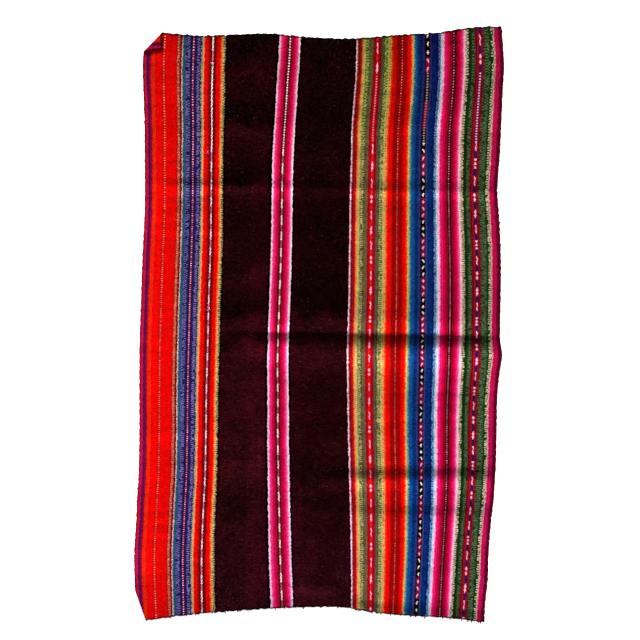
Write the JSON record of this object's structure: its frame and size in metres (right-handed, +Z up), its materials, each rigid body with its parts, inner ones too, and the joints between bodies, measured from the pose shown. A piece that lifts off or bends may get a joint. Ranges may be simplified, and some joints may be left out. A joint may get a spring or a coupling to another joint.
{
  "type": "aguayo carrying cloth",
  "caption": "Rectangular woven carrying cloth lying flat, with soft creases across it, a corner folded over and an edge tucked under.",
  "frame": {"origin": "centre of the bounding box of the cloth as it lies, on the surface under it", "axes": "+X across the stripes to the right, +Y along the stripes, +Z up out of the cloth's face"},
  "size_m": [0.6842, 1.102, 0.0066],
  "materials": {
    "aguayo_cloth": "hand-spun wool in a close warp-faced weave, matt, with lengthwise stripes"
  },
  "bodies": {
    "root": {"aguayo_cloth": "aguayo_cloth"}
  },
  "joints": []
}
